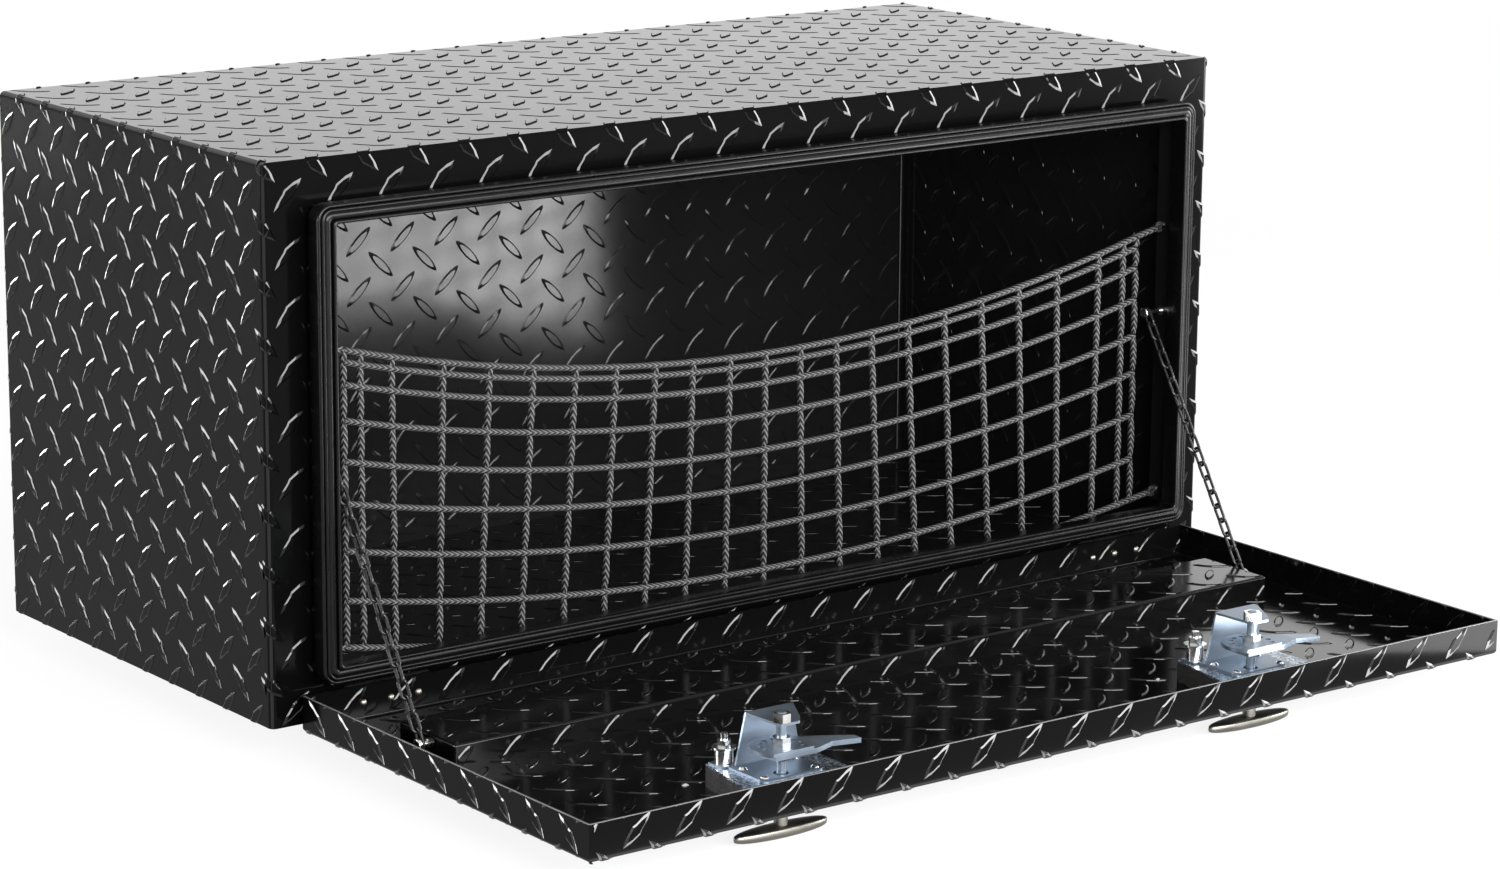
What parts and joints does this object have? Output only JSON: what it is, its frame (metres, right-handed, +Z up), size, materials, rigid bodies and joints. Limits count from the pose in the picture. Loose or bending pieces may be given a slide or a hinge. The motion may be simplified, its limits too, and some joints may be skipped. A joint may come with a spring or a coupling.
{
  "type": "underbody truck tool box",
  "caption": "Black tread-plate underbody truck tool box, its drop-down door open on two chains, with a seal, T-handle latches and a cargo net.",
  "frame": {"origin": "centre of the box's top face", "axes": "+X along the front to the right-hand end as one faces the door, +Y to the back, +Z up"},
  "size_m": [0.9906, 0.8388, 0.4892],
  "materials": {
    "black_tread_plate": "gloss",
    "black_steel": "satin",
    "black_rubber": "satin",
    "net_cord": "matte",
    "zinc": "satin",
    "bright_steel": "polished",
    "nickel": "satin"
  },
  "bodies": {
    "cabinet": {"body_wrap": "black_tread_plate", "front_frame": "black_tread_plate", "back_panel": "black_tread_plate", "bottom_panel": "black_tread_plate", "door_seal": "black_rubber", "cargo_net": "net_cord", "net_hooks": "bright_steel", "chain_top_bolts": "bright_steel", "hinge_body_leaf_left": "black_steel", "hinge_body_leaf_right": "black_steel", "hinge_pin_left": "bright_steel", "hinge_pin_right": "bright_steel", "hinge_body_rivets": "bright_steel"},
    "door": {"door_panel": "black_tread_plate", "door_stiffener": "black_tread_plate", "hinge_door_leaf_left": "black_steel", "hinge_door_leaf_right": "black_steel", "hinge_door_rivets": "bright_steel", "door_skin_rivets": "bright_steel", "chain_foot_bolts": "bright_steel", "bracket_screws": "zinc", "stud_sleeves": "nickel", "stud_base_washers": "zinc", "stud_top_washers": "nickel", "stud_nuts": "nickel", "latch_box_left": "black_tread_plate", "latch_plate_left": "zinc", "latch_bracket_left": "zinc", "latch_stud_left": "nickel", "handle_washer_left": "nickel", "latch_box_right": "black_tread_plate", "latch_plate_right": "zinc", "latch_bracket_right": "zinc", "latch_stud_right": "nickel", "handle_washer_right": "nickel"},
    "latch_left": {"t_handle_left": "nickel", "latch_spindle_left": "zinc", "cam_plate_left": "zinc", "latch_tongue_left": "zinc", "cam_nuts_left": "zinc", "spindle_nut_left": "zinc"},
    "upper_chain_left": {"chain_left_upper": "black_steel"},
    "lower_chain_left": {"chain_left_lower": "black_steel"},
    "latch_right": {"t_handle_right": "nickel", "latch_spindle_right": "zinc", "cam_plate_right": "zinc", "latch_tongue_right": "zinc", "cam_nuts_right": "zinc", "spindle_nut_right": "zinc"},
    "upper_chain_right": {"chain_right_upper": "black_steel"},
    "lower_chain_right": {"chain_right_lower": "black_steel"}
  },
  "joints": [
    {"name": "door_hinge", "type": "hinge", "parent": "cabinet", "child": "door", "pos_m": [0, -0.2199, -0.4336], "axis": [-1, 0, 0], "range_deg": [0, 90]},
    {"name": "latch_left_turn", "type": "hinge", "parent": "door", "child": "latch_left", "pos_m": [-0.2678, -0.5859, -0.44], "axis": [0, 0, -1], "range_deg": [0, 45]},
    {"name": "latch_right_turn", "type": "hinge", "parent": "door", "child": "latch_right", "pos_m": [0.2192, -0.5859, -0.44], "axis": [0, 0, -1], "range_deg": [0, 45]},
    {"name": "chain_left_upper_turn", "type": "hinge", "parent": "cabinet", "child": "upper_chain_left", "pos_m": [-0.4365, -0.2083, -0.2302], "axis": [1, 0, 0], "range_deg": [0, 62]},
    {"name": "chain_left_lower_turn", "type": "hinge", "parent": "door", "child": "lower_chain_left", "pos_m": [-0.4365, -0.3439, -0.4472], "axis": [-1, 0, 0], "range_deg": [0, 19]},
    {"name": "chain_right_upper_turn", "type": "hinge", "parent": "cabinet", "child": "upper_chain_right", "pos_m": [0.4365, -0.2083, -0.2302], "axis": [1, 0, 0], "range_deg": [0, 62]},
    {"name": "chain_right_lower_turn", "type": "hinge", "parent": "door", "child": "lower_chain_right", "pos_m": [0.4365, -0.3439, -0.4472], "axis": [-1, 0, 0], "range_deg": [0, 19]}
  ],
  "couplings": [
    {"joint": "chain_left_upper_turn", "follows": "door_hinge", "ratio": 0.68},
    {"joint": "chain_left_lower_turn", "follows": "door_hinge", "ratio": 0.2},
    {"joint": "chain_right_upper_turn", "follows": "door_hinge", "ratio": 0.68},
    {"joint": "chain_right_lower_turn", "follows": "door_hinge", "ratio": 0.2}
  ]
}
